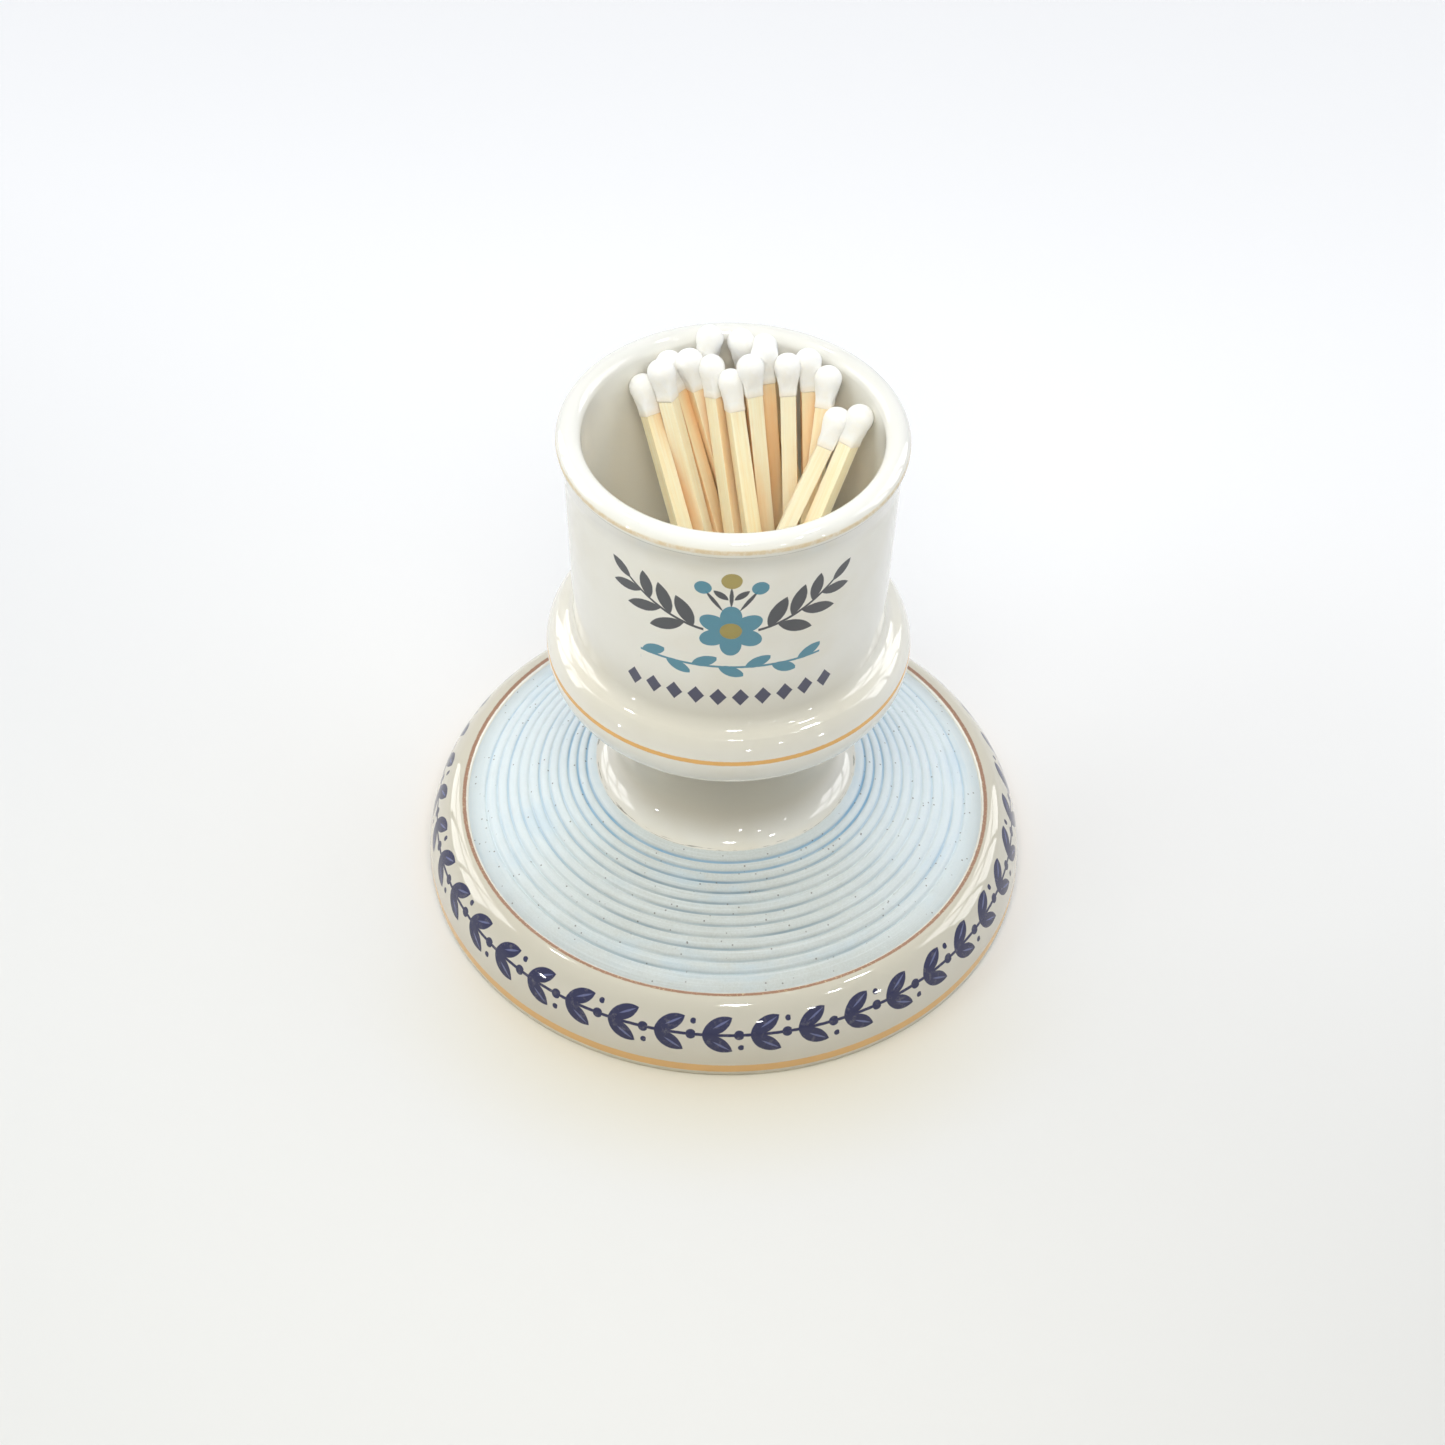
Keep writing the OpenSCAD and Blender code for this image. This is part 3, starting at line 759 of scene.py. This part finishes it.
# Stands one blank on every match's foot, then roughens it and, on a dip, frays its lower edge
def matchTree():
    tree, nodes, given, places = startTree("standingMatches", (
        ("Feet", "NodeSocketObject"), ("Blank", "NodeSocketObject"), ("Roughness", "NodeSocketFloat"),
        ("Fray", "NodeSocketFloat"), ("Fray Start", "NodeSocketFloat"), ("Head Start", "NodeSocketFloat"),
        ("Surface", "NodeSocketMaterial")))
    feet = nodes.add("GeometryNodeObjectInfo", {"transform_space": "ORIGINAL"},
                     {"Object": given.out("Feet")}, "Geometry")
    blank = nodes.add("GeometryNodeObjectInfo", {"transform_space": "ORIGINAL"},
                      {"Object": given.out("Blank")}, "Geometry")
    turn = nodes.add("GeometryNodeInputNamedAttribute", {"data_type": "FLOAT_VECTOR"}, {"Name": "turn"})
    rotation = nodes.add("FunctionNodeEulerToRotation", None, {0: turn})
    stand = nodes.add("GeometryNodeInstanceOnPoints", None,
                      {"Points": feet, "Instance": blank, "Rotation": rotation})
    stand = nodes.add("GeometryNodeRealizeInstances", None, {"Geometry": stand})
    stand = nodes.add("GeometryNodeMergeByDistance", None, {"Geometry": stand, "Distance": 0.002 * mm})
    own = nodes.add("GeometryNodeInputNamedAttribute", {"data_type": "FLOAT_VECTOR"}, {"Name": "ownPlace"})
    number = nodes.add("GeometryNodeInputNamedAttribute", {"data_type": "FLOAT"}, {"Name": "matchNumber"})
    direction = nodes.add("GeometryNodeInputNamedAttribute", {"data_type": "FLOAT_VECTOR"},
                          {"Name": "direction"})
    parts = nodes.add("ShaderNodeSeparateXYZ", None, {0: own})
    x, y, z = parts, parts.out(1), parts.out(2)
    local = nodes.join(x * 0.25 + number * 7.3, y * 0.25, z * 0.12)
    slow = nodes.noise(local, 1.0, 2.0)
    edge = nodes.join(x * 0.9 + number * 3.7, y * 0.9, 0.5)
    torn = nodes.noise(edge, 1.0, 2.0)
    nearEdge = 1.0 - z.rise(given.out("Fray Start"), given.out("Fray Start") + 1.2)
    shift = (torn - 0.3) * given.out("Fray") * nearEdge * mm
    normal = nodes.add("GeometryNodeInputNormal")
    swell = nodes.add("GeometryNodeInputNamedAttribute", {"data_type": "FLOAT"}, {"Name": "swell"})
    head = z.rise(given.out("Head Start") - 1.5, given.out("Head Start") + 2.5)
    depth = slow * given.out("Roughness") * (0.3 + head * 0.7) - swell * head
    endways = nodes.add("ShaderNodeVectorMath", {"operation": "DOT_PRODUCT"}, {0: normal, 1: direction}, 1)
    inward = nodes.add("ShaderNodeVectorMath", {"operation": "SCALE"}, {0: normal, "Scale": depth * -mm})
    lift = nodes.add("ShaderNodeVectorMath", {"operation": "SCALE"},
                     {0: direction, "Scale": shift - endways * swell * head * mm})
    offset = nodes.add("ShaderNodeVectorMath", {"operation": "ADD"}, {0: inward, 1: lift})
    stand = nodes.add("GeometryNodeSetPosition", None, {"Geometry": stand, "Offset": offset})
    stand = nodes.add("GeometryNodeSetShadeSmooth", None, {"Geometry": stand, "Shade Smooth": True})
    stand = nodes.add("GeometryNodeSetMaterial", None,
                      {"Geometry": stand, "Material": given.out("Surface")})
    nodes.add("NodeGroupOutput", None, {"Mesh": stand})
    return tree, places


woodValues = dict(light=tone(255, 245, 214), deep=tone(254, 234, 188), edge=tone(255, 249, 230),
                  fibre=tone(240, 196, 134), bounceAmber=tone(246, 186, 118), paleShare=0.45, fibreShare=0.2,
                  bounceShare=0.7, grainBump=0.04, fibreBump=0.015)


def woodMaterial(v):
    material, nodes, surface = startMaterial("matchWood", {
        "Roughness": 0.62, "Subsurface Weight": 0.3, "Subsurface Radius": (0.9, 0.8, 0.65),
        "Subsurface Scale": mm})
    own = nodes.add("ShaderNodeAttribute", {"attribute_name": "ownPlace"}, output="Vector")
    number = nodes.add("ShaderNodeAttribute", {"attribute_name": "matchNumber"}, output="Fac")
    parts = nodes.add("ShaderNodeSeparateXYZ", None, {0: own})
    x, y, z = parts, parts.out(1), parts.out(2)
    place = nodes.join(x * 2.2 + number * 5.1, y * 2.2 + number * 2.7, z * 0.06)
    grain = nodes.noise(place, 1.0, 4.0, 0.65)
    fibre = nodes.noise(nodes.join(x * 9.0 + number, y * 9.0, z * 0.25), 1.0, 2.0)
    each = (number * 0.618).fraction()
    colour = nodes.blend(grain.rise(0.3, 0.7), v["light"], v["deep"])
    colour = nodes.blend(each * v["paleShare"], colour, v["edge"])
    colour = nodes.blend(fibre.rise(0.5, 0.8) * v["fibreShare"], colour, v["fibre"])
    # Painted bounce light: amber where a stick's face looks onto a neighbour
    close = nodes.add("ShaderNodeAttribute", {"attribute_name": "closeness"}, output="Fac")
    colour = nodes.blend(close * v["bounceShare"], colour, v["bounceAmber"])
    feed(material.node_tree, surface.inputs["Base Color"], colour)
    height = grain * v["grainBump"] + fibre * v["fibreBump"]
    feed(material.node_tree, surface.inputs["Normal"], nodes.bump(height))
    return material


dipValues = dict(white=tone(254, 253, 250), shade=tone(250, 246, 232), stain=tone(246, 214, 164),
                 shadeShare=0.3, stainShare=0.3, mottleBump=0.08, gritBump=0.03)


def dipMaterial(v):
    material, nodes, surface = startMaterial("matchDip", {
        "Roughness": 0.8, "Subsurface Weight": 0.35, "Subsurface Radius": (1.2, 1.15, 1.05),
        "Subsurface Scale": mm})
    own = nodes.add("ShaderNodeAttribute", {"attribute_name": "ownPlace"}, output="Vector")
    number = nodes.add("ShaderNodeAttribute", {"attribute_name": "matchNumber"}, output="Fac")
    parts = nodes.add("ShaderNodeSeparateXYZ", None, {0: own})
    up = parts.out(2)
    place = nodes.join(parts + number * 4.1, parts.out(1), up)
    mottle = nodes.noise(place, 0.9, 3.0, 0.6)
    start = matchValues["length"] - matchValues["dipL"]
    colour = nodes.blend(mottle.rise(0.4, 0.75) * v["shadeShare"], v["white"], v["shade"])
    low = 1.0 - up.rise(start + 0.1, start + 1.6)
    colour = nodes.blend(low * v["stainShare"], colour, v["stain"])
    feed(material.node_tree, surface.inputs["Base Color"], colour)
    grit = nodes.noise(place, 5.0, 3.0, 0.7)
    height = mottle * v["mottleBump"] + grit * v["gritBump"]
    feed(material.node_tree, surface.inputs["Normal"], nodes.bump(height))
    return material


matchSpots = matchPlaces()
feet = meshObject("matchFeet", [tuple(foot) for foot, turn in matchSpots], [], [])
feet.data.attributes.new("turn", "FLOAT_VECTOR", "POINT").data.foreach_set(
    "vector", [c for foot, turn in matchSpots for c in turn])
feet.data.attributes.new("direction", "FLOAT_VECTOR", "POINT").data.foreach_set(
    "vector", [c for foot, turn in matchSpots for c in turn.to_matrix() @ Vector((0, 0, 1))])
putFloats(feet.data, "matchNumber", [float(i) for i in range(matchCount)])
putFloats(feet.data, "swell", matchValues["swell"])
standTree, standPlaces = matchTree()
stickShape = stickBlank(matchValues)
headShape = headBlank(matchValues)
sticks = grow("matchSticks", standTree, standPlaces, {
    "Feet": feet, "Blank": stickShape, "Roughness": matchValues["rough"], "Fray": 0.0,
    "Fray Start": -10.0, "Head Start": 100.0, "Surface": woodMaterial(woodValues)})
heads = grow("matchHeads", standTree, standPlaces, {
    "Feet": feet, "Blank": headShape, "Roughness": matchValues["dent"],
    "Fray": matchValues["ragged"], "Fray Start": matchValues["length"] - matchValues["dipL"],
    "Head Start": matchValues["length"] - matchValues["dropL"],
    "Surface": dipMaterial(dipValues)})
for spare in (feet, stickShape, headShape):
    bpy.data.objects.remove(spare)
markCloseness(sticks.data, matchSpots, matchValues)
for piece, ending, slotName in ((sticks, "stick", "match_wood"), (heads, "head", "match_dip")):
    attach(piece, "root")
    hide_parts(*["match_%02d_%s" % (number, ending) for number in range(1, matchCount + 1)])
print("stage 3: matches stand,", len(sticks.data.polygons) + len(heads.data.polygons), "faces")


# The stage: a pale table, soft light from all round, and what the glaze mirrors, in metres, with the
# floor's reaches in millimetres. Windows and lamps: turn from the back by the right and climb, in degrees
stageValues = dict(
    floorSize=3.0, floorFar=tone(252, 252, 254), floorNearShade=tone(227, 226, 223),
    floorWarmShade=tone(228, 221, 201), warmReach=(50.0, 78.0), warmShare=0.8, farReach=(-150.0, 190.0),
    floorLift=0.1, liftReach=(-30.0, 150.0), backdrop=tone(236, 238, 241),
    lightLevel=1.0, lowSky=(0.25, 0.55), highSky=(0.78, 0.93), overhead=(0.42, 0.41, 0.38),
    middleRing=((1.22, 1.25, 1.3), (1.24, 1.27, 1.32), (1.06, 1.15, 1.28), (0.38, 0.46, 0.54),
                (0.03, 0.04, 0.02), (0.28, 0.25, 0.18), (1.0, 1.0, 0.98), (1.24, 1.26, 1.3)),
    lowRing=((1.06, 1.07, 1.1), (1.08, 1.1, 1.14), (0.7, 0.77, 0.88), (0.0, 0.0, 0.02),
             (0.0, 0.0, 0.0), (0.0, 0.0, 0.0), (0.78, 0.85, 0.94), (1.08, 1.09, 1.12)),
    softLamps=(((0.0, -0.13, 0.25), 0.12, 0.235, (1.0, 0.98, 0.9)),
               ((-0.2, -0.1, 0.25), 0.12, 0.13, (0.9, 0.97, 1.0)),
               ((0.0, 0.0, 0.95), 1.0, 0.95, (1.0, 0.96, 0.95))),
    windowGlow=5.0, windowSize=(0.5, 0.44), windows=((-66, 28), (68, 30)), windowReach=0.6,
    lampGlow=50.0, lampReach=1.0,
    lamps=((129, 54, 0.032), (172, 66, 0.055), (88, 68, 0.045), (-53, 66, 0.03),
           (127, 12, 0.024), (-120, 5, 0.024), (149, 28, 0.022), (167, 18, 0.022)))


def stageFloor(v):
    half = v["floorSize"] / 2
    floor = meshObject("floor", [(-half, -half, 0), (half, -half, 0), (half, half, 0), (-half, half, 0)],
                       [], [(0, 1, 2, 3)])
    material, nodes, surface = startMaterial("paleTable", {"Roughness": 0.9})
    spot = nodes.add("ShaderNodeTexCoord", output="Object")
    parts = nodes.add("ShaderNodeSeparateXYZ", None, {0: spot})
    x, y = parts * 1000.0, parts.out(1) * 1000.0
    radius = (x * x + y * y).root()
    frontSide = (-y / (radius + 1.0)).rise(0.3, 1.0)
    # Painted shade: the floor is darker towards the viewer
    colour = nodes.blend((y + x * 0.1).rise(*v["farReach"]), v["floorNearShade"], v["floorFar"])
    # Painted shade and warm bounce light: a warm patch on the floor close in front of the foot
    warm = (1.0 - radius.rise(*v["warmReach"])) * frontSide * v["warmShare"]
    colour = nodes.blend(warm, colour, v["floorWarmShade"])
    feed(material.node_tree, surface.inputs["Base Color"], colour)
    # Painted light: seen straight or mirrored, the floor glows a little, more towards the back and the right
    lift = nodes.inSight() * (y + x * 0.4).rise(*v["liftReach"]) * v["floorLift"]
    feed(material.node_tree, surface.inputs["Emission Color"], nodes.blend(lift, (0, 0, 0, 1), (1, 1, 1, 1)))
    surface.inputs["Emission Strength"].default_value = 1.0
    floor.data.materials.append(material)


# Where a lamp stands: its turn from the back towards the right, its height as an angle
def lampPlace(turn, climb, reach):
    turn, climb = math.radians(turn), math.radians(climb)
    flat = math.cos(climb)
    return Vector((math.sin(turn) * flat, math.cos(turn) * flat, math.sin(climb))) * reach


# A glowing card that faces the striker and shows only in what mirrors it
def mirrorCard(name, points, place, glow, panes=None):
    card = meshObject(name, points, [], [tuple(range(len(points)))])
    card.location = place
    card.rotation_euler = (Vector((0, 0, 0.05)) - place).to_track_quat("Z", "Y").to_euler()
    card.visible_camera = False
    card.visible_diffuse = False
    card.visible_shadow = False
    material, nodes, surface = startMaterial(name + "Glow", {
        "Base Color": (0, 0, 0, 1), "Roughness": 1.0, "Emission Color": (1, 1, 1, 1),
        "Emission Strength": glow})
    if panes:
        spot = nodes.add("ShaderNodeTexCoord", output="Object")
        parts = nodes.add("ShaderNodeSeparateXYZ", None, {0: spot})
        bars = abs((parts / (panes[0] / 3) + 0.5).fraction() - 0.5).rise(0.4, 0.45)
        rails = abs((parts.out(1) / (panes[1] / 2)).fraction() - 0.5).rise(0.42, 0.46)
        frameTone = nodes.blend(bars.higher(rails), (1.0, 1.0, 1.0, 1.0), (0.1, 0.1, 0.1, 1.0))
        feed(material.node_tree, surface.inputs["Emission Color"], frameTone)
    card.data.materials.append(material)


def mirrorCards(v):
    wide, tall = v["windowSize"]
    corners = [(wide / 2 * x, tall / 2 * y, 0) for x, y in ((-1, -1), (1, -1), (1, 1), (-1, 1))]
    rim = [math.pi * step / 12 for step in range(24)]
    for number, (turn, climb) in enumerate(v["windows"]):
        mirrorCard("window%d" % number, corners, lampPlace(turn, climb, v["windowReach"]), v["windowGlow"],
                   v["windowSize"])
    for number, (turn, climb, size) in enumerate(v["lamps"]):
        points = [(math.cos(angle) * size, math.sin(angle) * size, 0) for angle in rim]
        mirrorCard("lamp%d" % number, points, lampPlace(turn, climb, v["lampReach"]), v["lampGlow"])


# Soft lamps: two close to the viewer, which light the cup and the heads more than the foot,
# and a broad one overhead
def softLamps(v):
    for number, (place, size, power, tint) in enumerate(v["softLamps"]):
        lamp = bpy.data.lights.new("softLamp%d" % number, "AREA")
        lamp.shape = "DISK"
        lamp.size = size
        lamp.energy = power
        lamp.color = tint
        item = bpy.data.objects.new(lamp.name, lamp)
        item.location = place
        item.rotation_euler = (Vector(place) - Vector((0, 0, 0.06))).to_track_quat("Z", "Y").to_euler()
        item.visible_camera = False
        item.visible_glossy = False
        bpy.context.scene.collection.objects.link(item)


# The sky by direction: one light overhead, and two rings of eight soft lights below it,
# each ring given from the back round by the right
def softRoom(v):
    world = bpy.data.worlds.new("softRoom")
    bpy.context.scene.world = world
    world.use_nodes = True
    nodes = maker(world.node_tree)
    way = nodes.add("ShaderNodeTexCoord", output="Generated")
    parts = nodes.add("ShaderNodeSeparateXYZ", None, {0: way})
    turn = nodes.atan(parts, parts.out(1)) / (2 * math.pi)
    up = parts.out(2)
    raised, capped = up.rise(*v["lowSky"]), up.rise(*v["highSky"])
    middle, low = nodes.ring(turn, v["middleRing"]), nodes.ring(turn, v["lowRing"])
    total = nodes.blend(capped, nodes.blend(raised, low, middle), (*v["overhead"], 1.0))
    total = nodes.blend(nodes.inSight(), total, v["backdrop"])
    sky = nodes.add("ShaderNodeBackground", None, {"Color": total, "Strength": v["lightLevel"]})
    nodes.add("ShaderNodeOutputWorld", None, {"Surface": sky})


stageFloor(stageValues)
softRoom(stageValues)
mirrorCards(stageValues)
softLamps(stageValues)


# The camera, in millimetres and degrees
cameraValues = dict(place=(0.0, -290.43, 329.24), pitch=45.941, roll=1.336, yaw=-0.0946, lens=62.28)


def placeCamera(v):
    pitch, roll, yaw = (math.radians(v[name]) for name in ("pitch", "roll", "yaw"))
    ahead = Vector((0, math.cos(pitch), -math.sin(pitch)))
    upright = Vector((0, math.sin(pitch), math.cos(pitch)))
    right = Vector((1, 0, 0)) * math.cos(yaw) - ahead * math.sin(yaw)
    ahead = ahead * math.cos(yaw) + Vector((1, 0, 0)) * math.sin(yaw)
    across = right * math.cos(roll) + upright * math.sin(roll)
    up = upright * math.cos(roll) - right * math.sin(roll)
    data = bpy.data.cameras.new("viewer")
    data.lens = v["lens"]
    data.sensor_width = 36
    data.clip_start = 0.01
    item = bpy.data.objects.new("viewer", data)
    item.matrix_world = Matrix((across, up, -ahead)).transposed().to_4x4()
    item.location = Vector(v["place"]) * mm
    bpy.context.scene.collection.objects.link(item)
    bpy.context.scene.camera = item


placeCamera(cameraValues)
bpy.context.scene.view_settings.view_transform = "Standard"
print("stage 4: lights and camera set")
